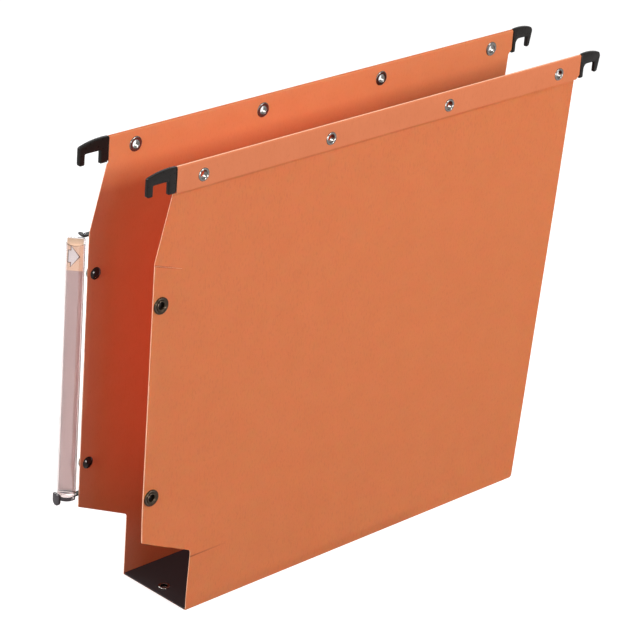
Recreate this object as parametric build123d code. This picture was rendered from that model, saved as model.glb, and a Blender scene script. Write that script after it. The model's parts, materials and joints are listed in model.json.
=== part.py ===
from build123d import *
import os
from math import asin, cos, sin

# A hanging file for a lateral cupboard, standing on its flat base, in millimetres.
# X runs along the rails, with the front edges and their snaps at -X. Y runs from the front
# panel (-Y) to the rear panel (+Y), and Z is up from the underside of the base.

# Card folder
sheet = 0.4                  # kraft card
base_width = 51.0            # between the middles of the two panel sheets
base_length = 265.5
fold_gap = 0.4               # bare crease between the base and a panel
hem_top = 265.8              # the top fold
hem_height = 14.4            # from the top fold to the lower edge of the turned strip
strip_over = 0.8             # the turned strip ends this far below the bar
edge_reach = 11.0            # the upright edge, with the snaps, stands this far outside the hem's end
slant_drop = 51.3            # from the top fold to where the slanted edge meets the upright edge
slant_in = 1.0               # how far the slanted edge starts outside the hem's end
notch_low = 37.8             # inner corner of the notch over the base
notch_deep = 35.5            # the base ends this far inside the upright edge
tab_rise = 15.7              # from the notch's inner corner up to the end of the upright edge
right_inset = 2.3            # the panel's right corner stands this far inside the hem
edge_flap = 19.0             # width of the flap turned over the outside of the upright edge
flap_drop = 1.1              # the flap starts this far under the slanted edge
flap_slope = 6.0             # fall of the flap's upper end across its width
slant_round = 12.0
notch_round = 2.5
corner_round = 2.0

# Suspension rails, hung over two bars by a slot at each end
slot_centres = 330.0         # middle of the left slot to middle of the right slot
bar_thick = 1.2
bar_play = 0.05              # between the bar and the card on each side
hook_thick = 2.4
hook_gap = 0.7               # bare bar between a hook and the hem's end
leg_rise = 0.1               # the hooks' legs end this far over the strip's lower edge
hook_edge = 0.4              # chamfer round the hooks
hook_round = 0.7             # small corners of the hooks
finger_drop = 12.9           # from the top fold down to the fingers' ends
finger_round = 1.5
left_leg = 4.95              # beside the left slot
left_slot = 10.5
left_slot_drop = 6.8         # from the top fold down to the top of the slot
left_finger = 4.0
left_arch_mid = 0.4          # the long arch under the top fold, over the middle of the slot
left_arch_fall = 2.6         # the arch's outer end under the top fold
left_shoulder = 1.3          # radius outside the finger
right_leg = 2.7
right_slot = 9.4
right_slot_drop = 6.4
right_finger = 4.8
right_taper = 2.2            # narrowing of the finger
right_arch_rise = 0.35
right_arch_fall = 1.7
right_shoulder = 2.8         # radius outside the finger and at the root of the slot

# Eyelets, rolled tubular rivets
eyelet_count = 4             # along each hem
eyelet_inset = 18.25         # from the hem's end
eyelet_rise = 5.4            # above the lower edge of the bar
eyelet_bore = 2.3            # radius
eyelet_wall = 0.3
eyelet_fit = 0.05
eyelet_flange = 4.25         # radius of the factory flange, on the inside
eyelet_roll = 3.7            # radius of the rolled end, on the outside
eyelet_dome = 0.55           # height of either end
rim_slope = 0.9              # width over which a rim falls to its outer edge
rim_lead = 0.25              # lead-in round the mouth of a bore

# Base plate
plate_thick = 0.8
plate_side = 0.5             # between the plate and a panel
plate_over = 0.3             # the plate ends this far past the card
plate_round = 0.8
base_eyelet_in = 7.3         # from the card's end
base_eyelet_bore = 1.9
base_eyelet_flange = 3.5
base_eyelet_roll = 2.9
base_eyelet_deep = 0.2       # the rolled end is pressed this far into the card from below

# Snap fasteners, which link a file to the next one
snap_inset = 5.2             # from the upright edge
snap_rise = 25.5             # lower snap above the lower end of the upright edge
snap_drop = 24.3             # upper snap below the upper end of the upright edge
snap_post = 1.3              # radius
snap_fit = 0.05
cap_radius = 3.45
cap_high = 1.6
cap_edge = 0.2               # upright edge below the dome
cap_steps = 3                # facets from the edge to the crown
socket_radius = 4.75
socket_high = 1.0            # over the card
socket_mouth = 2.0           # radius of the gripping bore
socket_wall = 0.4            # of the barrel that goes through the card
socket_dish = 0.4            # depth of the dished rim
socket_rim = 0.7             # flat top of the rim
stud_clear = 0.05            # between a stud and the bore of the next file's socket
stud_flange = 4.4
stud_flange_high = 0.9
stud_flange_edge = 0.4       # chamfer
stud_high = 1.5
stud_edge = 0.4              # chamfer

# Swivelling label holder on the rear panel's upright edge
bracket_thick = 1.0
bracket_wide = 9.5
bracket_in = 1.5             # from the upright edge to the strip
bracket_rise = 6.5           # above the lower end of the upright edge
bracket_drop = 1.5           # below the upper end of the upright edge
ear_thick = 1.0
ear_wall = 0.9               # round the pin's hole
ear_root = 2.0               # length of an ear over the strip
ear_leaf = 4.2               # an ear reaches this far behind its pin's hole
ear_tip = 0.7                # half the width of its end
ear_tip_round = 0.5
ear_clear = 0.1              # between an ear and the card
ear_play = 0.4               # above and below the clear tube
ear_cap_gap = 0.6
pivot_out = 1.5              # from the upright edge to the pivot
pin_radius = 0.65
pin_fit = 0.06
pin_over = 0.3               # a pin stands out of its ear
spine_wall = 0.35            # the tube's spine stands this far outside its pins
spine_web = 1.2              # thickness of the web from the spine to the flat back
label_angle = 43.0           # from facing along -X, turned towards -Y
tube_radius = 5.2
tube_wall = 0.5
tube_back = 0.8
tube_front = 1.3             # the middle of the flat back lies this far in front of the pivot
tube_past = 1.1              # the tube reaches this far past the pivot towards the panel
tube_cutaway = 3.0           # the curved front ends below the flat back
tube_corner = 1.5
card_thick = 0.3
card_play = 0.25
card_side_play = 0.45
card_short = 0.4             # the card ends below the top of the back
cap_plug = 2.5
cap_plug_fit = 0.05
cap_lip = 1.9
cap_lip_over = 0.6
tab_wide = 5.3               # the thumb tab, which hangs from the lip
tab_high = 6.8
tab_thick = 1.0              # outside the lip
tab_root = 0.4               # inside the lip
tab_above = 1.5              # the tab rises over the lip
tab_back = 0.4               # its middle lies this far towards the flat back
tab_round = 0.4
tab_angle = 45.0             # round the tube from its flat back's far end

# Places that several pieces share
fold_y = base_width / 2
sheet_in = fold_y - sheet / 2
sheet_out = fold_y + sheet / 2
flap_out = sheet_out + sheet
hem_half = (slot_centres - left_leg - left_slot / 2 - right_leg - right_slot / 2) / 2 - hook_gap
hem_low = hem_top - hem_height
slot_left = -hem_half - hook_gap - left_leg - left_slot / 2
slot_right = slot_left + slot_centres
leg_low = hem_low + leg_rise
finger_low = hem_top - finger_drop
front_edge = -hem_half - edge_reach
base_left = front_edge + notch_deep
base_right = base_left + base_length
slant_low = hem_top - slant_drop
tab_low = notch_low + tab_rise
bar_y = sheet_out + bar_play + bar_thick / 2
bar_low = hem_low + strip_over
strip_in = bar_y + bar_thick / 2 + bar_play
strip_out = strip_in + sheet
turn_in = (strip_in - sheet_out) / 2
turn_out = turn_in + sheet
turn_z = hem_top - turn_out
barrel = eyelet_bore + eyelet_wall
eyelet_z = bar_low + eyelet_rise
eyelet_pitch = 2 * (hem_half - eyelet_inset) / (eyelet_count - 1)
eyelet_x = [eyelet_pitch * i - hem_half + eyelet_inset for i in range(eyelet_count)]
plate_half = sheet_in - plate_side
base_barrel = base_eyelet_bore + eyelet_wall
base_eyelet_x = [base_left + base_eyelet_in, base_right - base_eyelet_in]
snap_x = front_edge + snap_inset
snap_heights = [tab_low + snap_rise, slant_low - snap_drop]
socket_barrel = socket_mouth + socket_wall
bracket_outer = flap_out + bracket_thick
bracket_low = tab_low + bracket_rise
bracket_top = slant_low - bracket_drop
ear_radius = pin_radius + pin_fit + ear_wall
pivot = (front_edge - pivot_out, flap_out + ear_clear + ear_radius)
tube_low = bracket_low + ear_thick + ear_play
tube_top = bracket_top - ear_thick - ear_play
tube_inner = tube_radius - tube_wall
tube_offset = tube_radius - tube_past
holder = Location((pivot[0], pivot[1], 0), (0, 0, 90 + label_angle))


def outline(*corners):
    """A closed flat face from corners given as (across, up, corner radius)."""
    face = make_face(Polyline(*[(a, b) for a, b, r in corners], close=True))
    return round_corners(face, corners)


def round_corners(face, corners):
    """Rounds the corners of a flat face that lie at (across, up), by their radius."""
    for a, b, r in corners:
        if r > 0:
            face = fillet(face.vertices().sort_by_distance((a, b, 0))[0], r)
    return face


def slab(face, near, far):
    """A flat outline in X and Z, made solid from Y = near to Y = far."""
    return extrude(Plane.XZ.offset(-near) * face, amount=far - near, dir=(0, 1, 0))


def bore(radius, x, z, near, far):
    """A round cutter along Y."""
    tool = Cylinder(radius, far - near, rotation=(90, 0, 0))
    return Pos(x, (near + far) / 2, z) * tool


def turned(profile, x, y, z, tilt):
    """A revolved piece from a profile in radius and height, stood at a place by a tilt about X."""
    return Location((x, y, z), (tilt, 0, 0)) * revolve(Plane.XZ * profile, axis=Axis.Z)


def front_of(piece):
    """The front panel's copy of a piece that was made on the rear panel."""
    return mirror(piece, about=Plane.XZ)


def panel_outline():
    """The card panel: slanted under the left hook, upright, notched over the base, drawn in at right."""
    return outline(
        (base_left, 0, 0),
        (base_right, 0, corner_round),
        (hem_half - right_inset, hem_low, 0),
        (hem_half, hem_low + right_inset, 0),
        (hem_half, turn_z, 0),
        (-hem_half, turn_z, 0),
        (-hem_half, hem_low, 0),
        (-hem_half - slant_in, hem_low - slant_in, 0),
        (front_edge, slant_low, slant_round),
        (front_edge, tab_low, sheet),
        (base_left, notch_low, notch_round),
    )


def hem():
    """The top of the card, turned over the rail to a strip on the outside that the eyelets clamp."""
    profile = make_face([
        ThreePointArc((strip_out, turn_z), (bar_y, turn_z + turn_out), (sheet_in, turn_z)),
        Line((sheet_in, turn_z), (sheet_out, turn_z)),
        ThreePointArc((sheet_out, turn_z), (bar_y, turn_z + turn_in), (strip_in, turn_z)),
        Polyline((strip_in, turn_z), (strip_in, hem_low), (strip_out, hem_low), (strip_out, turn_z)),
    ])
    body = extrude(Plane.YZ.offset(-hem_half) * profile, amount=2 * hem_half, dir=(1, 0, 0))
    corner = outline((hem_half - right_inset, hem_low, 0), (hem_half, hem_low, 0),
                     (hem_half, hem_low + right_inset, 0))
    return body - slab(corner, strip_in, strip_out)


def panel(snap_hole):
    """One card panel with its hem, its turned-over edge flap and the holes for its fasteners."""
    tab_slope = (tab_low - notch_low) / (base_left - front_edge)
    flap_x = front_edge + edge_flap
    flap = outline((front_edge, tab_low, sheet), (flap_x, tab_low - tab_slope * edge_flap, 0),
                   (flap_x, slant_low - flap_drop - flap_slope, 0),
                   (front_edge, slant_low - flap_drop, 0))
    card = slab(panel_outline(), sheet_in, sheet_out) + hem() + slab(flap, sheet_out, flap_out)
    for x in eyelet_x:
        card -= bore(barrel + eyelet_fit, x, eyelet_z, sheet_in, strip_out)
    for z in snap_heights:
        card -= bore(snap_hole, snap_x, z, sheet_in, flap_out)
    return card


def left_hook():
    """The long arched hook at the front edges' end."""
    shoulder = -hem_half - hook_gap
    leg = slot_left + left_slot / 2
    inner = slot_left - left_slot / 2
    outer = inner - left_finger
    arch_low = hem_top - left_arch_fall
    slot_top = hem_top - left_slot_drop
    arch = ThreePointArc((shoulder, hem_top), (slot_left, hem_top - left_arch_mid), (outer, arch_low))
    rest = Polyline((outer, arch_low), (outer, finger_low), (inner, finger_low), (inner, slot_top),
                    (leg, slot_top), (leg, leg_low), (shoulder, leg_low), (shoulder, hem_top))
    return round_corners(make_face([arch, rest]), [
        (outer, arch_low, left_shoulder), (outer, finger_low, finger_round),
        (inner, finger_low, hook_round), (inner, slot_top, hook_round),
        (leg, slot_top, hook_round), (leg, leg_low, hook_round)])


def right_hook():
    """The short round hook at the other end, with a tapered finger."""
    shoulder = hem_half + hook_gap
    leg = slot_right - right_slot / 2
    inner = slot_right + right_slot / 2
    outer = inner + right_finger
    tip = outer - right_taper
    arch_low = hem_top - right_arch_fall
    slot_top = hem_top - right_slot_drop
    arch = ThreePointArc((shoulder, hem_top), (slot_right, hem_top + right_arch_rise), (outer, arch_low))
    rest = Polyline((outer, arch_low), (tip, finger_low), (inner, finger_low), (inner, slot_top),
                    (leg, slot_top), (leg, leg_low), (shoulder, leg_low), (shoulder, hem_top))
    return round_corners(make_face([arch, rest]), [
        (outer, arch_low, right_shoulder), (tip, finger_low, finger_round),
        (inner, finger_low, hook_round), (inner, slot_top, hook_round),
        (leg, slot_top, right_shoulder), (leg, leg_low, hook_round)])


def rail():
    """A moulded bar inside the hem, with a thicker hook at each end."""
    hook_near = bar_y - hook_thick / 2
    hook_far = bar_y + hook_thick / 2
    body = Part()
    for face in (left_hook(), right_hook()):
        hook = slab(face, hook_near, hook_far)
        sides = hook.faces().filter_by(Axis.Y)
        body += chamfer(sides.edges(), hook_edge)
    root = hem_half + hook_gap + hook_thick
    bar = outline((-root, bar_low, 0), (root, bar_low, 0), (root, turn_z, 0), (-root, turn_z, 0))
    body += slab(bar, bar_y - bar_thick / 2, bar_y + bar_thick / 2)
    for x in eyelet_x:
        body -= bore(barrel + eyelet_fit, x, eyelet_z, sheet_in, strip_out)
    return body


def rim(bore_radius, edge_radius, face, dome):
    """The section of an eyelet's rim, from its edge on a face to the mouth of its bore."""
    lead = rim_lead if dome > 0 else -rim_lead
    return [(edge_radius, face), (edge_radius - rim_slope, face + dome),
            (bore_radius + rim_lead, face + dome), (bore_radius, face + dome - lead)]


def hem_eyelets():
    """The row of eyelets that clamps a hem on its rail, flange inside and rolled end outside."""
    grip = strip_out - sheet_in
    flange = rim(eyelet_bore, eyelet_flange, 0, -eyelet_dome)
    roll = rim(eyelet_bore, eyelet_roll, grip, eyelet_dome)
    profile = make_face(Polyline(*reversed(flange), (barrel, 0), (barrel, grip), *roll, close=True))
    return Part() + [turned(profile, x, sheet_in, eyelet_z, -90) for x in eyelet_x]


def snap_caps(post):
    """Domed heads on the inside of a panel, each with a post given by its corners, if it has one."""
    rise = cap_high - cap_edge
    ball = (cap_radius ** 2 + rise ** 2) / (2 * rise)
    spread = asin(cap_radius / ball)
    turns = [spread * (1 - i / cap_steps) for i in range(cap_steps)]
    dome = [(ball * sin(t), ball - cap_high - ball * cos(t)) for t in turns]
    profile = make_face(Polyline((0, -cap_high), *post, (cap_radius, 0), *dome, close=True))
    return Part() + [turned(profile, snap_x, sheet_in, z, -90) for z in snap_heights]


def snap_sockets():
    """Dished sockets on the front panel, each with a barrel through the card that grips a stud."""
    dish = socket_radius - socket_rim
    grip = flap_out - sheet_in
    profile = make_face(Polyline(
        (socket_mouth, -grip), (socket_barrel, -grip), (socket_barrel, 0), (socket_radius, 0),
        (socket_radius, socket_high), (dish, socket_high), (socket_mouth, socket_high - socket_dish),
        close=True))
    return Part() + [turned(profile, snap_x, flap_out, z, -90) for z in snap_heights]


def snap_studs():
    """Studs on the rear panel's outer face, over the label bracket, that a next file's sockets take."""
    top = stud_flange_high + stud_high
    hole = snap_post + snap_fit
    stud = socket_mouth - stud_clear
    profile = make_face(Polyline(
        (hole, 0), (stud_flange, 0), (stud_flange, stud_flange_high - stud_flange_edge),
        (stud_flange - stud_flange_edge, stud_flange_high), (stud, stud_flange_high),
        (stud, top - stud_edge), (stud - stud_edge, top), (hole, top), close=True))
    return Part() + [turned(profile, snap_x, bracket_outer, z, -90) for z in snap_heights]


def base_sheet():
    """The card base between the two folds."""
    half = sheet_in - fold_gap
    card = Pos((base_left + base_right) / 2, 0, sheet / 2) * Box(base_length, 2 * half, sheet)
    for x in base_eyelet_x:
        card -= Pos(x, 0, sheet / 2) * Cylinder(base_barrel + eyelet_fit, sheet)
        dent = Cylinder(base_eyelet_roll + eyelet_fit, base_eyelet_deep,
                        align=(Align.CENTER, Align.CENTER, Align.MIN))
        card -= Pos(x, 0, 0) * dent
    return card


def base_plate():
    """The stiff plate that lies on the base."""
    left = base_left - plate_over
    right = base_right + plate_over
    face = outline((left, -plate_half, plate_round), (right, -plate_half, plate_round),
                   (right, plate_half, plate_round), (left, plate_half, plate_round))
    plate = Pos(0, 0, sheet) * extrude(face, amount=plate_thick)
    for x in base_eyelet_x:
        plate -= Pos(x, 0, sheet + plate_thick / 2) * Cylinder(base_barrel + eyelet_fit, plate_thick)
    return plate


def base_eyelets():
    """Eyelets that hold the plate on the base, rolled flush into the card below."""
    top = sheet + plate_thick
    flange = rim(base_eyelet_bore, base_eyelet_flange, top, eyelet_dome)
    profile = make_face(Polyline(
        *flange, (base_eyelet_bore, 0), (base_eyelet_roll, 0), (base_eyelet_roll, base_eyelet_deep),
        (base_barrel, base_eyelet_deep), (base_barrel, top), close=True))
    return Part() + [turned(profile, x, 0, 0, 0) for x in base_eyelet_x]


def label_bracket():
    """A strip under the studs, with two leaf-shaped ears that reach out past the upright edge."""
    high = bracket_top - bracket_low
    low_corner = (Align.MIN, Align.MIN, Align.MIN)
    leaf = outline((-ear_radius, 0, 0), (ear_radius, 0, 0), (ear_tip, ear_leaf, ear_tip_round),
                   (-ear_tip, ear_leaf, ear_tip_round))
    body = Pos(front_edge + bracket_in, flap_out, bracket_low) * Box(
        bracket_wide, bracket_thick, high, align=low_corner)
    for z in (bracket_low, bracket_top - ear_thick):
        ear = Pos(pivot[0], pivot[1], z) * Cylinder(
            ear_radius, ear_thick, align=(Align.CENTER, Align.CENTER, Align.MIN))
        ear += Pos(pivot[0], pivot[1] - ear_radius, z) * Box(
            pivot_out + bracket_in + ear_root, 2 * ear_radius, ear_thick, align=low_corner)
        ear += Pos(pivot[0], pivot[1], z) * extrude(leaf, amount=ear_thick)
        body += ear
        body -= Pos(pivot[0], pivot[1], z + ear_thick / 2) * Cylinder(pin_radius + pin_fit, ear_thick)
    for z in snap_heights:
        body -= bore(snap_post + snap_fit, snap_x, z, flap_out, bracket_outer)
    return body


def half_round(radius, back):
    """A D-shaped face: a disc about the tube's middle, cut off flat at a height over it."""
    disc = Pos(tube_offset, tube_front) * Circle(radius)
    return disc & Pos(tube_offset, tube_front + back + radius) * Rectangle(2 * radius, 2 * radius)


def label_tube():
    """The clear D-shaped tube with a flat back, and behind it a spine that ends in two pins."""
    near_edge = tube_offset - tube_radius
    far_edge = tube_offset + tube_radius
    high = tube_top - tube_low
    back = outline((near_edge, tube_low, 0), (far_edge, tube_low, 0), (far_edge, tube_top, tube_corner),
                   (near_edge, tube_top, tube_corner))
    body = slab(back, tube_front - tube_back / 2, tube_front + tube_back / 2)
    front = Pos(0, 0, tube_low) * extrude(half_round(tube_radius, 0), amount=high - tube_cutaway)
    low = (Align.CENTER, Align.CENTER, Align.MIN)
    spine = Pos(0, 0, tube_low) * Cylinder(pin_radius + spine_wall, high - tube_corner, align=low)
    web = Pos(0, 0, tube_low) * Box(spine_web, tube_front, high - tube_corner,
                                    align=(Align.CENTER, Align.MIN, Align.MIN))
    inside = Pos(0, 0, tube_low) * extrude(half_round(tube_inner, tube_back / 2), amount=high)
    pin_low = bracket_low - pin_over
    pins = Pos(0, 0, pin_low) * Cylinder(pin_radius, bracket_top + pin_over - pin_low, align=low)
    return holder * (body + front + spine + web + pins - inside)


def label_card():
    """The paper label that stands on the end cap inside the tube."""
    near = tube_back / 2 + card_play
    far = near + card_thick
    half = (tube_inner ** 2 - far ** 2) ** 0.5 - card_side_play
    low = tube_low + cap_plug + card_play
    top = tube_top - card_short
    face = outline((tube_offset - half, low, 0), (tube_offset + half, low, 0),
                   (tube_offset + half, top, 0), (tube_offset - half, top, 0))
    return holder * slab(face, tube_front + near, tube_front + far)


def label_cap():
    """The end cap: a plug in the tube, a lip under it and a thumb tab at its far side."""
    seat = half_round(tube_inner - cap_plug_fit, tube_back / 2 + cap_plug_fit)
    plug = Pos(0, 0, tube_low) * extrude(seat, amount=cap_plug)
    far = tube_radius + cap_lip_over
    flush = Pos(far - tube_past, tube_front) * Rectangle(2 * far, 2 * far)
    rim_face = half_round(far, ear_radius + ear_cap_gap - tube_front) & flush
    lip = Pos(0, 0, tube_low - cap_lip) * extrude(rim_face, amount=cap_lip)
    half = tab_wide / 2
    top = tube_low + tab_above
    low = top - tab_high
    shield = make_face([
        Polyline((half, low + half), (half, top), (-half, top), (-half, low + half)),
        ThreePointArc((-half, low + half), (0, low), (half, low + half)),
    ])
    shield = round_corners(shield, [(half, top, tab_round), (-half, top, tab_round)])
    side = Location((tube_offset, tube_front, 0), (0, 0, tab_angle - 90)) * Pos(tab_back, 0, 0)
    return holder * (plug + lip + side * slab(shield, far - tab_root, far + tab_thick))


stud_grip = bracket_outer + stud_flange_high - sheet_in
stud_post = [(0, stud_grip), (snap_post, stud_grip), (snap_post, 0)]
no_post = [(0, 0)]
nodes = {
    "base_sheet": base_sheet(),
    "base_plate": base_plate(),
    "base_eyelets": base_eyelets(),
    "front_panel": front_of(panel(socket_barrel + snap_fit)),
    "front_rail": front_of(rail()),
    "front_eyelets": front_of(hem_eyelets()),
    "front_snap_caps": front_of(snap_caps(no_post)),
    "front_snap_sockets": front_of(snap_sockets()),
    "rear_panel": panel(snap_post + snap_fit),
    "rear_rail": rail(),
    "rear_eyelets": hem_eyelets(),
    "rear_snap_caps": snap_caps(stud_post),
    "rear_snap_studs": snap_studs(),
    "label_bracket": label_bracket(),
    "label_tube": label_tube(),
    "label_card": label_card(),
    "label_cap": label_cap(),
}
os.makedirs("parts", exist_ok=True)
for name, piece in nodes.items():
    export_step(piece, f"parts/{name}.step")
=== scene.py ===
import bmesh
import bpy
import json
from math import cos, pi, radians, sin, sqrt
from mathutils import Matrix, Quaternion, Vector


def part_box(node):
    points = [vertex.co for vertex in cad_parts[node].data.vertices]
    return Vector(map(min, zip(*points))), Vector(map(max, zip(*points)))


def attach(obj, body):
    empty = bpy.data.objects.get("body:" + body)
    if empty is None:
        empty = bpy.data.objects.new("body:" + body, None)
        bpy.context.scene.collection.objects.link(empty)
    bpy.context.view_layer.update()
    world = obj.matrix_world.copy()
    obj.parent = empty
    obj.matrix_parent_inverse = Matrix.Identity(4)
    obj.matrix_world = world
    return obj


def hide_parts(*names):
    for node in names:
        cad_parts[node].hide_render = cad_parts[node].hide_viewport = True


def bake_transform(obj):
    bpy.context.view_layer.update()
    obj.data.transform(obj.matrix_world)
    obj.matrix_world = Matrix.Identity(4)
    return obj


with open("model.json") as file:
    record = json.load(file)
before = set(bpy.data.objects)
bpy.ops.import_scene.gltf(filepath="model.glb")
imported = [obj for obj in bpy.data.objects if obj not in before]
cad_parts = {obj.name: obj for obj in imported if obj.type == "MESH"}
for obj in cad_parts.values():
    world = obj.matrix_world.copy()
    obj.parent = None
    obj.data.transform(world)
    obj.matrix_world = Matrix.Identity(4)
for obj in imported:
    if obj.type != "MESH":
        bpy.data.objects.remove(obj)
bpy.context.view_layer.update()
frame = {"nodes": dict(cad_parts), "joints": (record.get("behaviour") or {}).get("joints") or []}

# Card base
# The middle of the folder's one sheet of orange kraft card, between the two long creases.
# The card is dyed in the pulp, pressed smooth, die-cut and scored, and it carries the base plate.
mm = 0.001


def linear(hex_colour):
    """An sRGB hex colour as linear red, green, blue and alpha."""
    channels = [int(hex_colour[i:i + 2], 16) / 255 for i in (1, 3, 5)]
    return [c / 12.92 if c <= 0.04045 else ((c + 0.055) / 1.055) ** 2.4 for c in channels] + [1.0]


def add_node(tree, kind, inputs=None, **settings):
    """Adds a node with its settings. Inputs go by socket, and a value may be another node's output.

    Of a Mix node's sockets, 0 is its factor, 6 and 7 are its two colours, and output 2 is their mix.
    """
    node = tree.nodes.new(kind)
    for name, value in settings.items():
        setattr(node, name, value)
    for socket, value in (inputs or {}).items():
        if isinstance(value, bpy.types.NodeSocket):
            tree.links.new(value, node.inputs[socket])
        else:
            node.inputs[socket].default_value = value
    return node


def new_material(name, values):
    """A material with plain values on its shader, and the parts that a pattern is added to."""
    material = bpy.data.materials.new(name)
    material.use_nodes = True
    tree = material.node_tree
    shader = tree.nodes["Principled BSDF"]
    for socket, value in values.items():
        shader.inputs[socket].default_value = value
    place = add_node(tree, "ShaderNodeTexCoord").outputs["Object"]
    return material, tree, shader, place


def kraft_card(name, deep, pale, fleck, marks=(), glow=0.0):
    """Pulp-dyed kraft card: matt, cloudy in tone, with short upright fibres and a soft tooth.

    A mark is a line of painted shade: its place and slope in X and Z, its half width, the two values of X
    between which it fades out, and its depth of tone. Glow is how much red light comes through the card.
    """
    cloud_size = 14 * mm
    fibre_across = 0.9 * mm
    fibre_long = 2.4 * mm
    fibre_tone = 0.28
    tooth_size = 0.8 * mm        # real tooth is finer, drawn coarse enough to show
    tooth_deep = 0.06 * mm
    # the tone of the painted shade lines
    painted_shade_tone = "#94421E"
    glow_reach = 0.8 * mm        # red light spreads this far inside the card, green and blue less
    material, tree, shader, place = new_material(name, {
        "Specular IOR Level": 0.3, "Subsurface Weight": glow, "Subsurface Radius": (1.0, 0.16, 0.06),
        "Subsurface Scale": glow_reach})
    cloud = add_node(tree, "ShaderNodeTexNoise", {"Vector": place, "Scale": 1 / cloud_size, "Detail": 4.0})
    lie = add_node(tree, "ShaderNodeMapping", {"Vector": place, "Scale": (1, 1, fibre_across / fibre_long)})
    fibre = add_node(tree, "ShaderNodeTexNoise", {
        "Vector": lie.outputs[0], "Scale": 1 / fibre_across, "Detail": 2.0})
    tooth = add_node(tree, "ShaderNodeTexNoise", {"Vector": place, "Scale": 1 / tooth_size, "Detail": 2.0})
    tone = add_node(tree, "ShaderNodeMix", {
        0: cloud.outputs[0], 6: linear(deep), 7: linear(pale)}, data_type="RGBA")
    dark_fibre = add_node(tree, "ShaderNodeMapRange", {
        "Value": fibre.outputs[0], "From Min": 0.52, "From Max": 0.8, "To Min": 0.0, "To Max": fibre_tone})
    colour = add_node(tree, "ShaderNodeMix", {
        0: dark_fibre.outputs[0], 6: tone.outputs[2], 7: linear(fleck)}, data_type="RGBA")
    along = add_node(tree, "ShaderNodeSeparateXYZ", {0: place})
    for x, z, slope, half, start, end, depth in marks:
        fall = add_node(tree, "ShaderNodeMath", {
            0: along.outputs["X"], 1: -slope, 2: along.outputs["Z"]}, operation="MULTIPLY_ADD")
        close = add_node(tree, "ShaderNodeMath", {
            0: fall.outputs[0], 1: z - slope * x, 2: half}, operation="COMPARE")
        fade = add_node(tree, "ShaderNodeMapRange", {
            "Value": along.outputs["X"], "From Min": start, "From Max": end,
            "To Min": depth, "To Max": 0.0})
        line = add_node(tree, "ShaderNodeMath", {
            0: close.outputs[0], 1: fade.outputs[0]}, operation="MULTIPLY")
        colour = add_node(tree, "ShaderNodeMix", {
            0: line.outputs[0], 6: colour.outputs[2], 7: linear(painted_shade_tone)}, data_type="RGBA")
    dull = add_node(tree, "ShaderNodeMapRange", {
        "Value": tooth.outputs[0], "To Min": 0.62, "To Max": 0.86})
    relief = add_node(tree, "ShaderNodeBump", {
        "Height": tooth.outputs[0], "Strength": 0.25, "Distance": tooth_deep})
    tree.links.new(colour.outputs[2], shader.inputs["Base Color"])
    tree.links.new(dull.outputs[0], shader.inputs["Roughness"])
    tree.links.new(relief.outputs[0], shader.inputs["Normal"])
    return material


card = kraft_card("kraft_card", "#CD703D", "#D57844", "#BC663A")


def dress(node, material):
    """Gives a carried-over CAD node its finish."""
    frame["nodes"][node].material_slots[0].material = material


dress("base_sheet", card)

# Base plate
# A stiff strip of black polypropylene that keeps the base flat under the papers.
# It is cut from extruded sheet and riveted to the card at both ends.


def black_plastic(name, deep, pale, roughness, grain_size, grain_deep):
    """Black moulded or extruded plastic: a low satin gloss broken by a fine grain."""
    gloss_spread = 0.1
    material, tree, shader, place = new_material(name, {"IOR": 1.5, "Specular IOR Level": 0.12})
    grain = add_node(tree, "ShaderNodeTexNoise", {"Vector": place, "Scale": 1 / grain_size, "Detail": 3.0})
    colour = add_node(tree, "ShaderNodeMix", {
        0: grain.outputs[0], 6: linear(deep), 7: linear(pale)}, data_type="RGBA")
    gloss = add_node(tree, "ShaderNodeMapRange", {
        "Value": grain.outputs[0], "To Min": roughness - gloss_spread, "To Max": roughness + gloss_spread})
    relief = add_node(tree, "ShaderNodeBump", {
        "Height": grain.outputs[0], "Strength": 0.2, "Distance": grain_deep})
    tree.links.new(colour.outputs[2], shader.inputs["Base Color"])
    tree.links.new(gloss.outputs[0], shader.inputs["Roughness"])
    tree.links.new(relief.outputs[0], shader.inputs["Normal"])
    return material


plate_plastic = black_plastic("black_sheet_plastic", "#2C2A2C", "#3A383A", roughness=0.5,
                              grain_size=0.9 * mm, grain_deep=0.05 * mm)
dress("base_plate", plate_plastic)

# Base eyelets
# Two nickel-plated steel eyelets, rolled over by a punch, that hold the plate on the card.
# The flange lies on the plate and the rolled end is pressed flush into the underside.
weld = 0.001 * mm                # corners this close are one corner


def pressed_steel(name, deep, pale):
    """Pressed steel, bright where it is nickel-plated, with faint drag marks from the punch."""
    mark_size = 0.7 * mm
    material, tree, shader, place = new_material(name, {"Metallic": 1.0})
    mark = add_node(tree, "ShaderNodeTexNoise", {"Vector": place, "Scale": 1 / mark_size, "Detail": 3.0})
    colour = add_node(tree, "ShaderNodeMix", {
        0: mark.outputs[0], 6: linear(deep), 7: linear(pale)}, data_type="RGBA")
    gloss = add_node(tree, "ShaderNodeMapRange", {
        "Value": mark.outputs[0], "To Min": 0.14, "To Max": 0.34})
    tree.links.new(colour.outputs[2], shader.inputs["Base Color"])
    tree.links.new(gloss.outputs[0], shader.inputs["Roughness"])
    return material


def turned(profile, places):
    """A mesh of round pieces, each turned about Z from (radius, height) points and stood at a place."""
    steps = 48
    whole = bmesh.new()
    for place in places:
        rows = []
        for i in range(steps):
            spin = place @ Matrix.Rotation(2 * pi * i / steps, 4, "Z")
            rows.append([whole.verts.new(spin @ Vector((r, 0, h))) for r, h in profile])
        for i in range(steps):
            for j in range(len(profile) - 1):
                whole.faces.new((rows[i - 1][j], rows[i][j], rows[i][j + 1], rows[i - 1][j + 1]))
    bmesh.ops.remove_doubles(whole, verts=whole.verts, dist=weld)
    bmesh.ops.recalc_face_normals(whole, faces=whole.faces)
    return whole


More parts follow.
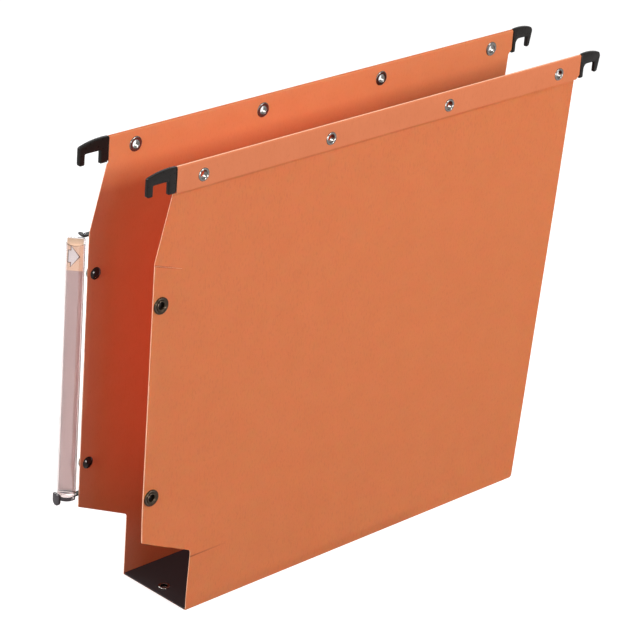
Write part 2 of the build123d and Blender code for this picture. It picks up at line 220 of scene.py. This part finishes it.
def swept(middle, across, high, start, end, steps=8):
    """Points along part of an ellipse in radius and height, between two angles in degrees."""
    turns = [radians(start + (end - start) * i / steps) for i in range(steps + 1)]
    return [(middle[0] + across * cos(t), middle[1] + high * sin(t)) for t in turns]


def new_piece(name, mesh, *materials):
    """An object made from a finished mesh, smooth apart from its sharp edges."""
    sharp_over = radians(35)
    data = bpy.data.meshes.new(name)
    mesh.to_mesh(data)
    mesh.free()
    if "custom_normal" in data.attributes:
        data.attributes.remove(data.attributes["custom_normal"])
    for material in materials:
        data.materials.append(material)
    data.shade_smooth()
    data.set_sharp_from_angle(angle=sharp_over)
    piece = bpy.data.objects.new(name, data)
    bpy.context.collection.objects.link(piece)
    return piece


nickel = pressed_steel("nickel_plated_steel", "#4E4A47", "#8A8682")
# painted shade for the inside of the base eyelets' bores
bore_painted_shade = pressed_steel("steel_bore_painted_shade", "#1E1A18", "#2C2724")
eyelet_wall = 0.3 * mm
lead_in = 0.35 * mm              # rounding at the mouth of a bore
low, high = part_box("base_eyelets")
plate_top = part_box("base_plate")[1].z
flange = (high.y - low.y) / 2
flange_high = high.z - plate_top
bore = 1.9 * mm
foot = 2.9 * mm
foot_high = 0.2 * mm
brow = (flange + bore + eyelet_wall) / 2
profile = [(bore, 0), (foot, 0), (foot, foot_high), (bore + eyelet_wall, foot_high),
           (bore + eyelet_wall, plate_top), (flange, plate_top)]
profile += swept((brow, plate_top), flange - brow, flange_high, 0, 90)
profile += swept((bore + lead_in, high.z - lead_in), -lead_in, lead_in, 90, 0)
profile += [(bore, 0)]
places = [Matrix.Translation((x, 0, 0)) for x in (low.x + flange, high.x - flange)]
mesh = turned(profile, places)
# the bore is drawn dark: painted shade inside the bore
for face in mesh.faces:
    middle = face.calc_center_median()
    reach = min((middle - place.translation).to_2d().length for place in places)
    face.material_index = int(reach < bore + lead_in / 2)
piece = new_piece("base_eyelets_plated", mesh, nickel, bore_painted_shade)
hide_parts("base_eyelets")
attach(piece, "base")

# Front and rear card panels
# The two walls of the folder, cut from the same kraft card as the base. The top is turned over the rail
# to a hem, and the upright edge is doubled by a glued flap, so both end in a soft round fold.
cell = 8 * mm                    # the card is cut into a grid so that it can bow
same = 10 * weld                 # places this close count as one
fold_round = 0.34 * mm
hem_height = 14.4 * mm
flap_wide = 19 * mm
flap_top = 213.4 * mm            # the flap's upper end, at the upright edge
flap_slope = -6 / 19             # and its fall across the flap
score_z = 33.8 * mm              # a score that runs in from the notch
score_long = 27 * mm
bow_depth = 0.35 * mm
bow_start = 80 * mm              # the bow grows over this width beside the flap
wave_share = 0.5                 # it is uneven along the panel
wave_long = 47 * mm
ripple_share = 0.3               # and a little uneven up the panel, aslant
ripple_high = 31 * mm
ripple_long = 90 * mm
flare = 1.2 * mm                 # the front panel's loose lower corner stands out by this much
flare_low = 6 * mm
flare_z = 38 * mm
flare_top = 72 * mm              # the lower snap holds it in
flare_wide = 80 * mm
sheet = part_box("base_sheet")[1].z
notch_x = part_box("base_sheet")[0].x
edge_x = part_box("rear_panel")[0].x
strip_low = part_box("rear_panel")[1].z - hem_height
line_half = 0.45 * mm            # half the width of a painted shade line
under_strip = 1.6 * mm           # the card shows again this far below the strip's edge, seen from above
hem_line_end = (60 * mm, 150 * mm)
flap_line_long = 6 * mm          # the line at the flap's end keeps its tone this far
hem_line_tone = 0.22
flap_line_tone = 0.7
score_tone = 0.85
# painted shade: dark lines where shade falls under the hem strip's lower edge, along the flap's upper end
# and in the score by the notch
painted_shade_lines = (
    (0, strip_low - under_strip, 0, line_half, *hem_line_end, hem_line_tone),
    (edge_x, flap_top, flap_slope, line_half, edge_x + flap_line_long, edge_x + flap_wide, flap_line_tone),
    (notch_x, score_z, 0, line_half, notch_x, notch_x + score_long, score_tone),
)
outer_card = kraft_card("kraft_card_outside", "#CD703D", "#D57844", "#A8552F", painted_shade_lines, glow=0.7)
# the inside face is the same card; its paler, yellower tone is painted light that lifts the shaded inside
# of the folder
inner_card_painted_light = kraft_card("kraft_card_inside_painted_light", "#CF7749", "#D77F51", "#C0673D", glow=0.25)
# the hem is the same card, drawn a little paler as a painted sheen
hem_card_painted_sheen = kraft_card("kraft_card_hem_painted_sheen", "#CF7246", "#D87B4F", "#C0663C")
# cut edges show the card's paler core; the same pale tone on the round folds and on the front panel's top
# fold is a painted highlight
pale_edge_and_painted_highlight = kraft_card("kraft_card_edge_painted_highlight", "#FFBA94", "#FFCEB0", "#F4A882")
panel_cards = (outer_card, inner_card_painted_light, hem_card_painted_sheen, pale_edge_and_painted_highlight)


def welded(node):
    """A CAD node's mesh, with its split corners joined and its flat faces whole."""
    flat_under = radians(0.5)
    mesh = bmesh.new()
    mesh.from_mesh(frame["nodes"][node].data)
    bmesh.ops.remove_doubles(mesh, verts=mesh.verts, dist=weld)
    bmesh.ops.dissolve_limit(mesh, angle_limit=flat_under, verts=mesh.verts, edges=mesh.edges)
    return mesh


def cut_across(mesh, axis, places):
    """Cuts a mesh by planes that stand across an axis."""
    normal = Vector()
    normal[axis] = 1
    for place in places:
        whole = mesh.verts[:] + mesh.edges[:] + mesh.faces[:]
        bmesh.ops.bisect_plane(mesh, geom=whole, dist=weld, plane_co=normal * place, plane_no=normal)


def steps_between(start, end, size):
    """Even steps of about a size between two places, without the places themselves."""
    count = round((end - start) / size)
    return [start + (end - start) * i / count for i in range(1, count)]


def ease(value, start, end):
    """A smooth rise from 0 at start to 1 at end."""
    t = min(max((value - start) / (end - start), 0), 1)
    return t * t * (3 - 2 * t)


def panel_card(node, side):
    """A card panel with soft folds, a slight bow and a loose lower corner in front. Side is -1 in front."""
    low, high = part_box(node)
    inner = min(abs(low.y), abs(high.y))
    outer = inner + sheet
    flap_outer = outer + sheet
    flap_end = low.x + flap_wide
    mesh = welded(node)

    def on_fold(edge):
        a, b = [v.co for v in edge.verts]
        upright = max(a.x, b.x) < low.x + same and abs(a.z - b.z) > cell
        under = max(a.z, b.z) < same and abs(a.x - b.x) > cell
        return upright or (under and min(abs(a.y), abs(b.y)) > outer - same)

    folds = [edge for edge in mesh.edges if on_fold(edge)]
    bmesh.ops.bevel(mesh, geom=folds, offset=fold_round, segments=3, affect="EDGES", profile=0.5)
    cut_across(mesh, 0, steps_between(low.x, high.x, cell))
    cut_across(mesh, 2, steps_between(0, strip_low, cell))
    for face in mesh.faces:
        middle = face.calc_center_median()
        # the front panel's top fold takes the pale edge tone as a painted highlight, and the rear's does
        # not
        rear_top = side > 0 and middle.z > high.z - 2 * sheet
        if abs(face.normal.y) < 0.5 and middle.z > sheet and not rear_top:
            face.material_index = panel_cards.index(pale_edge_and_painted_highlight)
        elif face.normal.y * side < -0.5 and abs(middle.y) < outer:
            face.material_index = panel_cards.index(inner_card_painted_light)
        elif abs(middle.y) > flap_outer + same and middle.z > strip_low:
            face.material_index = panel_cards.index(hem_card_painted_sheen)
    for vertex in mesh.verts:
        x, y, z = vertex.co
        if abs(y) > flap_outer + same or z > strip_low:
            continue
        swell = sin(pi * z / strip_low) * ease(x, flap_end, flap_end + bow_start)
        wave = 1 + wave_share * sin(x / wave_long) + ripple_share * sin(z / ripple_high + x / ripple_long)
        shift = bow_depth * swell * wave
        if side < 0:
            loose = ease(z, flare_low, flare_z) * (1 - ease(z, flare_z, flare_top))
            shift += flare * loose * (1 - ease(x, notch_x, notch_x + flare_wide))
        vertex.co.y += side * shift
    return mesh


panels = {}
for body, side in (("front", -1), ("rear", 1)):
    node = f"{body}_panel"
    piece = new_piece(f"{body}_card_panel", panel_card(node, side), *panel_cards)
    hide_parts(node)
    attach(piece, body)
    panels[body] = piece

# Creases
# The scored lines where the one sheet of card turns up from the base into a panel.
crease_steps = 6
base_low, base_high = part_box("base_sheet")
for body, side in (("front", -1), ("rear", 1)):
    panel_low, panel_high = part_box(f"{body}_panel")
    wall = min(abs(panel_low.y), abs(panel_high.y))
    mesh = bmesh.new()
    bmesh.ops.create_cube(mesh, size=1)
    size = Vector((base_high.x - base_low.x, wall - base_high.y, sheet))
    middle = Vector(((base_high.x + base_low.x) / 2, side * (wall + base_high.y) / 2, sheet / 2))
    mesh.transform(Matrix.Translation(middle) @ Matrix.Diagonal(size).to_4x4())
    cut_across(mesh, 0, steps_between(base_low.x, base_high.x, cell))
    cut_across(mesh, 1, [side * y for y in steps_between(base_high.y, wall, size.y / crease_steps)])
    piece = new_piece(f"{body}_crease", mesh, card)
    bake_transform(piece)

# Suspension rails
# Moulded black polypropylene, one in each hem: a flat bar with a hook at each end that hangs
# over the cupboard's runners. Eyelets through the hem hold the bar.
hook_plastic = black_plastic("black_moulded_plastic", "#141110", "#201C1A", roughness=0.3,
                             grain_size=1.4 * mm, grain_deep=0.03 * mm)
hook_round = 0.4 * mm            # moulded edges are never quite sharp, so they catch the light


def eased(node, radius):
    """A CAD node's mesh with its sharp edges rounded off."""
    sharp_over = radians(40)
    mesh = welded(node)
    sharp = [edge for edge in mesh.edges
             if len(edge.link_faces) == 2 and edge.calc_face_angle() > sharp_over]
    bmesh.ops.bevel(mesh, geom=sharp, offset=radius, segments=2, affect="EDGES", profile=0.5,
                    clamp_overlap=True)
    return mesh


for body in ("front", "rear"):
    piece = new_piece(f"{body}_rail_moulded", eased(f"{body}_rail", hook_round), hook_plastic)
    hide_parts(f"{body}_rail")
    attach(piece, body)

# Hem eyelets
# Four nickel-plated steel eyelets in each hem, set through card, bar and card. The factory flange
# is on the inside of the folder and the rolled end on the outside.
eyelet_count = 4
hem_bore = 2.3 * mm
dome = 0.55 * mm                 # how far the flange and the rolled end stand up from the card
brow_wide = 0.7 * mm             # the rounding of the flange, in from its edge
roll_radius = 3.7 * mm
roll_steps = 14
roll = (hem_bore + roll_radius) / 2
for body, side in (("front", -1), ("rear", 1)):
    low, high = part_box(f"{body}_eyelets")
    flange = (high.z - low.z) / 2
    top = high.y - low.y - dome
    profile = [(hem_bore + eyelet_wall, dome), (flange, dome)]
    profile += swept((flange - brow_wide, dome), brow_wide, dome, 0, -90)
    profile += swept((hem_bore + lead_in, lead_in), -lead_in, lead_in, -90, 0)
    profile += swept((roll, top), -(roll_radius - hem_bore) / 2, dome, 0, 180, roll_steps)
    profile += [(hem_bore + eyelet_wall, top), (hem_bore + eyelet_wall, dome)]
    inside = low.y if side > 0 else high.y
    first = low.x + flange
    apart = (high.x - low.x - 2 * flange) / (eyelet_count - 1)
    facing = Matrix.Rotation(radians(-90 * side), 4, "X")
    places = [Matrix.Translation((first + apart * i, inside, (low.z + high.z) / 2)) @ facing
              for i in range(eyelet_count)]
    piece = new_piece(f"{body}_eyelets_plated", turned(profile, places), nickel)
    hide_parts(f"{body}_eyelets")
    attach(piece, body)

# Snap fasteners
# Pressed brass snaps, lacquered black: domed caps inside, sockets outside the front panel and studs
# outside the rear one, so that a file links to the next. Each pair is riveted through the card.


def black_lacquer(name, deep, pale, metallic, rough):
    """Thin black lacquer over pressed brass: dark and glossy, a little brown where it is worn."""
    wear_size = 1.6 * mm
    material, tree, shader, place = new_material(name, {"Metallic": metallic, "Specular IOR Level": 0.2})
    wear = add_node(tree, "ShaderNodeTexNoise", {"Vector": place, "Scale": 1 / wear_size, "Detail": 3.0})
    colour = add_node(tree, "ShaderNodeMix", {
        0: wear.outputs[0], 6: linear(deep), 7: linear(pale)}, data_type="RGBA")
    gloss = add_node(tree, "ShaderNodeMapRange", {
        "Value": wear.outputs[0], "To Min": rough - 0.08, "To Max": rough + 0.1})
    tree.links.new(colour.outputs[2], shader.inputs["Base Color"])
    tree.links.new(gloss.outputs[0], shader.inputs["Roughness"])
    return material


lacquer = black_lacquer("black_lacquered_brass", "#171312", "#2B2422", metallic=0.3, rough=0.14)
socket_lacquer = black_lacquer("worn_lacquered_brass", "#221A13", "#4A3C2E", metallic=0.6, rough=0.16)
cap_low, cap_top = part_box("front_snap_caps")
cap_radius = (cap_top.x - cap_low.x) / 2
cap_high = cap_top.y - cap_low.y
post = 1.3 * mm


def cap_profile(deep):
    """A domed cap with a rounded edge and, where it is deeper than the dome, a post behind it."""
    edge = 0.3 * mm
    steps = 10
    rise = cap_high - edge
    ball = (cap_radius ** 2 + rise ** 2) / (2 * rise)
    points = [(0, deep), (post, deep), (post, cap_high)] if deep > cap_high + weld else [(0, deep)]
    points += [(cap_radius - edge / 2, cap_high)]
    points += swept((cap_radius - edge / 2, cap_high - edge / 2), edge / 2, edge / 2, 90, 0, 4)
    slope = [cap_radius * (1 - i / steps) for i in range(steps + 1)]
    points += [(r, ball - sqrt(ball ** 2 - r ** 2)) for r in slope]
    return points


def socket_profile(deep):
    """A dished socket: a barrel through the card, a rounded rim, a dish and a rolled mouth."""
    rim = 4.75 * mm
    rim_high = 1.0 * mm
    lip = 0.4 * mm
    mouth = 2.0 * mm
    wall = 0.4 * mm
    bead = 0.6 * mm              # the bead round the mouth, in radius
    bead_high = 0.72 * mm
    bead_drop = 0.75 * mm        # its middle lies this far below the rim
    seat = deep - rim_high
    points = [(mouth, 0), (mouth + wall, 0), (mouth + wall, seat), (rim, seat)]
    points += swept((rim - lip, deep - lip), lip, lip, 0, 110)
    points += swept((mouth + bead, deep - bead_drop), bead, bead_high, 20, 180)
    points += [(mouth, 0)]
    return points


def stud_profile(deep):
    """A flat flange and a stud with a swollen head and an open middle."""
    flange = 4.4 * mm
    flange_high = 0.9 * mm
    edge = 0.35 * mm
    waist = 1.7 * mm
    waist_high = 0.5 * mm
    head = 1.95 * mm
    swell = 0.6 * mm
    points = [(post, 0), (flange, 0)]
    points += swept((flange - edge, flange_high - edge), edge, edge, 0, 90, 4)
    points += [(waist, flange_high), (waist, flange_high + waist_high)]
    points += swept((head - swell, deep - swell), swell, swell, 0, 90, 6)
    points += [(post, deep), (post, 0)]
    return points


snaps = (
    ("front_snap_caps", "front", 1, cap_profile, lacquer),
    ("rear_snap_caps", "rear", -1, cap_profile, lacquer),
    ("front_snap_sockets", "front", -1, socket_profile, socket_lacquer),
    ("rear_snap_studs", "rear", 1, stud_profile, lacquer),
)
for node, body, facing, shape, finish in snaps:
    low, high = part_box(node)
    radius = (high.x - low.x) / 2
    is_cap = shape is cap_profile
    # a cap's profile starts at its crown and runs back along the post
    start = (high.y if facing > 0 else low.y) if is_cap else (low.y if facing > 0 else high.y)
    way = -facing if is_cap else facing
    stand = Matrix.Rotation(radians(-90 * way), 4, "X")
    middle = (low.x + high.x) / 2
    places = [Matrix.Translation((middle, start, z)) @ stand for z in (low.z + radius, high.z - radius)]
    piece = new_piece(f"{node}_lacquered", turned(shape(high.y - low.y), places), finish)
    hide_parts(node)
    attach(piece, body)

# Label bracket
# A flat strip of moulded black plastic behind the rear panel's upright edge, clamped under the studs.
# Its two leaf-shaped ears reach past the edge and carry the pins of the label tube.
dress("label_bracket", hook_plastic)

# Label tube
# Clear extruded PVC with a flat back and a half-round front, so that it magnifies the label a little.
# It turns on two pins in the bracket's ears.


def clear_plastic(name):
    """Clear plastic: glossy, faintly tinted, with fine draw lines along its length."""
    line_across = 0.5 * mm
    line_long = 60 * mm
    line_deep = 0.02 * mm
    material, tree, shader, place = new_material(name, {
        "Base Color": linear("#F0E8E7"), "Roughness": 0.03, "IOR": 1.49, "Transmission Weight": 1.0})
    lie = add_node(tree, "ShaderNodeMapping", {"Vector": place, "Scale": (1, 1, line_across / line_long)})
    lines = add_node(tree, "ShaderNodeTexNoise", {
        "Vector": lie.outputs[0], "Scale": 1 / line_across, "Detail": 1.0})
    relief = add_node(tree, "ShaderNodeBump", {
        "Height": lines.outputs[0], "Strength": 0.08, "Distance": line_deep})
    tree.links.new(relief.outputs[0], shader.inputs["Normal"])
    return material


piece = new_piece("label_tube_clear", welded("label_tube"), clear_plastic("clear_extruded_plastic"))
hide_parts("label_tube")
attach(piece, "holder")

# Label card
# A strip of printed paper that slides into the tube from above. Its upper end is a peach field with
# a plain arrow that points at the file, and the rest is left blank for a title.
label_turn = radians(133)        # the label's face turns from the rails towards the front
tube_front = 1.3 * mm            # from the pivot to the middle of the tube's flat back
card_near = 0.65 * mm            # from there to the card's back
card_thick = 0.3 * mm
card_left = -0.15 * mm
card_right = 8.4 * mm
peach_low = 193 * mm
arrow_z = 201.1 * mm
arrow_tip = 2.1 * mm
arrow_neck = 6.1 * mm
arrow_tail = 7.5 * mm
tail_half = 3.2 * mm
head_half = 5.6 * mm
outline_wide = 0.5 * mm
ink = 0.02 * mm
swivel = next(joint for joint in frame["joints"] if joint["name"] == "label_swivel")
pivot_x, pivot_y = swivel["pos_m"][:2]
holder = Matrix.Translation((pivot_x, pivot_y, 0)) @ Matrix.Rotation(label_turn, 4, "Z")


def printed_paper(name, deep, pale):
    """Uncoated printed paper: matt, with a faint unevenness of the ink."""
    fibre_size = 1.2 * mm
    material, tree, shader, place = new_material(name, {"Roughness": 0.8, "Specular IOR Level": 0.25})
    fibre = add_node(tree, "ShaderNodeTexNoise", {"Vector": place, "Scale": 1 / fibre_size, "Detail": 3.0})
    colour = add_node(tree, "ShaderNodeMix", {
        0: fibre.outputs[0], 6: linear(deep), 7: linear(pale)}, data_type="RGBA")
    tree.links.new(colour.outputs[2], shader.inputs["Base Color"])
    return material


def sheet_of(corners, near, far):
    """A flat shape from corners in the holder's width and height, made solid between two depths."""
    mesh = bmesh.new()
    face = mesh.faces.new([mesh.verts.new((u, near, z)) for u, z in corners])
    moved = bmesh.ops.extrude_face_region(mesh, geom=[face])["geom"]
    for vertex in [v for v in moved if isinstance(v, bmesh.types.BMVert)]:
        vertex.co.y = far
    bmesh.ops.recalc_face_normals(mesh, faces=mesh.faces)
    return mesh


low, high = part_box("label_card")
card_back = tube_front + card_near
card_face = card_back + card_thick
mesh = sheet_of([(card_left, low.z), (card_right, low.z), (card_right, high.z), (card_left, high.z)],
                card_back, card_face)
cut_across(mesh, 2, [peach_low])
for face in mesh.faces:
    face.material_index = int(face.calc_center_median().z > peach_low)
mesh.transform(holder)
# the blank paper is drawn a dull grey-mauve instead of white: painted shade inside the tube
piece = new_piece("label_card_paper", mesh, printed_paper("blank_label_paper_painted_shade", "#A39190", "#B4A09E"),
                  printed_paper("peach_label_paper", "#D4B396", "#DDBFA6"))
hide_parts("label_card")
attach(piece, "card")


def arrow(grow):
    """The corners of the arrow, made larger all round by a border."""
    lean = grow * 1.6            # the border reaches further at the points of the head
    tip, neck, tail = arrow_tip - lean, arrow_neck + grow, arrow_tail + grow
    head, half = head_half + lean, tail_half + grow
    return [(tip, arrow_z), (neck, arrow_z + head), (neck, arrow_z + half), (tail, arrow_z + half),
            (tail, arrow_z - half), (neck, arrow_z - half), (neck, arrow_z - head)]


for name, grow, depth, deep, pale in (("label_arrow_border", outline_wide, ink, "#5E463F", "#705850"),
                                      ("label_arrow", 0.0, 2 * ink, "#CACCCF", "#D4D6D9")):
    mesh = sheet_of(arrow(grow), card_face, card_face + depth)
    mesh.transform(holder)
    piece = new_piece(name, mesh, printed_paper(f"{name}_ink", deep, pale))
    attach(piece, "card")

# End cap
# A small moulded cap that closes the tube's lower end: a clear plug inside the tube and, outside it,
# a dark lip and a thumb tab that turns the label.
cap_plastic = black_plastic("charcoal_moulded_plastic", "#423D40", "#545054", roughness=0.35,
                            grain_size=1.2 * mm, grain_deep=0.03 * mm)
plug_plastic = clear_plastic("clear_moulded_plastic")
cap_round = 0.18 * mm
tube_wall = 0.5 * mm
into_holder = holder.inverted()
tube_points = [into_holder @ vertex.co for vertex in frame["nodes"]["label_tube"].data.vertices]
plug_near = [min(point[i] for point in tube_points) + tube_wall for i in range(3)]
plug_far = [max(point[i] for point in tube_points) - tube_wall for i in range(3)]
mesh = eased("label_cap", cap_round)
for face in mesh.faces:
    spot = into_holder @ face.calc_center_median()
    face.material_index = int(all(plug_near[i] < spot[i] < plug_far[i] for i in range(3)))
piece = new_piece("label_cap_moulded", mesh, cap_plastic, plug_plastic)
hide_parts("label_cap")
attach(piece, "holder")

# Studio
# A plain pale floor, a white sky and soft lamps: a key in front at the right, a tall rim lamp at the left
# and one close behind. Two more lamps only add glints, and a red one stands for light through the card.
floor_size = 8.0
floor_drop = 0.2 * mm
floor_albedo = 0.12              # what the floor throws back on the object
seen_albedo = 0.4                # what the camera sees of its light and shadow
seen_glow = 0.8                  # added for the camera, so that the lit floor is white
covered_inset = 2 * mm           # under the base, this far in from its edges, there is no glow
sky = 0.45


def sees_background(tree):
    """A factor that is 1 for what the camera sees, straight or by way of gloss or clear plastic."""
    path = add_node(tree, "ShaderNodeLightPath")
    shine = add_node(tree, "ShaderNodeMath", {
        0: path.outputs["Is Camera Ray"], 1: path.outputs["Is Glossy Ray"]}, operation="MAXIMUM")
    return add_node(tree, "ShaderNodeMath", {
        0: shine.outputs[0], 1: path.outputs["Is Transmission Ray"]}, operation="MAXIMUM").outputs[0]


def new_lamp(name, size, power):
    """A rectangular soft lamp."""
    lamp = bpy.data.lights.new(name, "AREA")
    lamp.shape = "RECTANGLE"
    lamp.size, lamp.size_y = size
    lamp.energy = power
    light = bpy.data.objects.new(name, lamp)
    bpy.context.collection.objects.link(light)
    return light


mesh = bmesh.new()
bmesh.ops.create_grid(mesh, x_segments=1, y_segments=1, size=floor_size / 2)
floor_paint = bpy.data.materials.new("pale_floor")
floor_paint.use_nodes = True
tree = floor_paint.node_tree
tree.nodes.remove(tree.nodes["Principled BSDF"])
bounce = add_node(tree, "ShaderNodeBsdfDiffuse", {"Color": [floor_albedo] * 3 + [1.0]})
seen = add_node(tree, "ShaderNodeBsdfDiffuse", {"Color": [seen_albedo] * 3 + [1.0]})
place = add_node(tree, "ShaderNodeTexCoord").outputs["Object"]
spot = add_node(tree, "ShaderNodeSeparateXYZ", {0: place})
middle = (base_low + base_high) / 2
half = (base_high - base_low) / 2 - Vector((covered_inset, covered_inset, 0))
along = add_node(tree, "ShaderNodeMath", {
    0: spot.outputs["X"], 1: middle.x, 2: half.x}, operation="COMPARE")
across = add_node(tree, "ShaderNodeMath", {
    0: spot.outputs["Y"], 1: middle.y, 2: half.y}, operation="COMPARE")
covered = add_node(tree, "ShaderNodeMath", {
    0: along.outputs[0], 1: across.outputs[0]}, operation="MULTIPLY")
open_glow = add_node(tree, "ShaderNodeMapRange", {
    "Value": covered.outputs[0], "To Min": seen_glow, "To Max": 0.0})
glow = add_node(tree, "ShaderNodeEmission", {"Strength": open_glow.outputs[0]})
lit = add_node(tree, "ShaderNodeAddShader", {0: seen.outputs[0], 1: glow.outputs[0]})
either = add_node(tree, "ShaderNodeMixShader", {
    0: sees_background(tree), 1: bounce.outputs[0], 2: lit.outputs[0]})
tree.links.new(either.outputs[0], tree.nodes["Material Output"].inputs["Surface"])
floor = new_piece("studio_floor", mesh, floor_paint)
floor.location.z = -floor_drop

world = bpy.data.worlds.new("studio")
bpy.context.scene.world = world
world.use_nodes = True
tree = world.node_tree
strength = add_node(tree, "ShaderNodeMapRange", {
    "Value": sees_background(tree), "To Min": sky, "To Max": 1.0})
tree.nodes["Background"].inputs["Color"].default_value = (1, 1, 1, 1)
tree.links.new(strength.outputs[0], tree.nodes["Background"].inputs["Strength"])

# each lamp's direction from the folder, its distance, its width and height, and its level
lamps = (
    ("key", (0.25, -0.85, 0.45), 2.0, (0.5, 0.5), 0.76),
    ("rim", (-0.95, -0.06, 0.2), 1.6, (0.4, 1.2), 0.6),
    ("back", (-0.1, 0.93, 0.36), 0.5, (0.5, 0.3), 0.7),
    ("glint_left", (-0.25, -0.96, 0.1), 1.5, (0.4, 0.4), 1.2),
    ("glint_behind", (-0.39, 0.63, 0.64), 1.5, (0.4, 0.4), 0.5),
)
aim = Vector((0, 0, 130 * mm))
for name, direction, distance, size, level in lamps:
    # a lamp of this power throws the level of a white sky on a surface that faces it
    light = new_lamp(name, size, level * pi ** 2 * distance ** 2)
    toward = Vector(direction).normalized()
    light.location = aim + toward * distance
    light.rotation_euler = toward.to_track_quat("Z", "Y").to_euler()
    light.visible_diffuse = not name.startswith("glint")

# the red light that the front card lets through, which stays on the card's inner face when it swings
through_wide = 200 * mm
through_high = 190 * mm
through_place = (-59 * mm, -22 * mm, 146 * mm)
through_level = 0.48
through_power = through_level * pi * through_wide * through_high
light = new_lamp("through_card", (through_wide, through_high), through_power)
light.data.color = linear("#FF8A85")[:3]
light.location = through_place
light.rotation_euler = (radians(90), 0, 0)
light.visible_camera = False
light.parent = panels["front"]

# Camera
# The photograph's viewpoint: from the front edges' side, above the hem, rolled by a few degrees.
camera_place = Vector((-1.1138, -1.0520, 0.8092))
camera_turn = radians(46.237)
camera_tilt = radians(23.935)
camera_roll = radians(4.319)
focal_length = 167.47            # in mm, on a sensor 36 mm wide
lens = bpy.data.cameras.new("camera")
lens.lens = focal_length
camera = bpy.data.objects.new("camera", lens)
bpy.context.collection.objects.link(camera)
level_ahead = Vector((sin(camera_turn), cos(camera_turn), 0))
ahead = level_ahead * cos(camera_tilt) - Vector((0, 0, sin(camera_tilt)))
camera.location = camera_place
camera.rotation_mode = "QUATERNION"
camera.rotation_quaternion = ahead.to_track_quat("-Z", "Y") @ Quaternion((0, 0, 1), camera_roll)
bpy.context.scene.camera = camera
bpy.context.scene.view_settings.view_transform = "Standard"
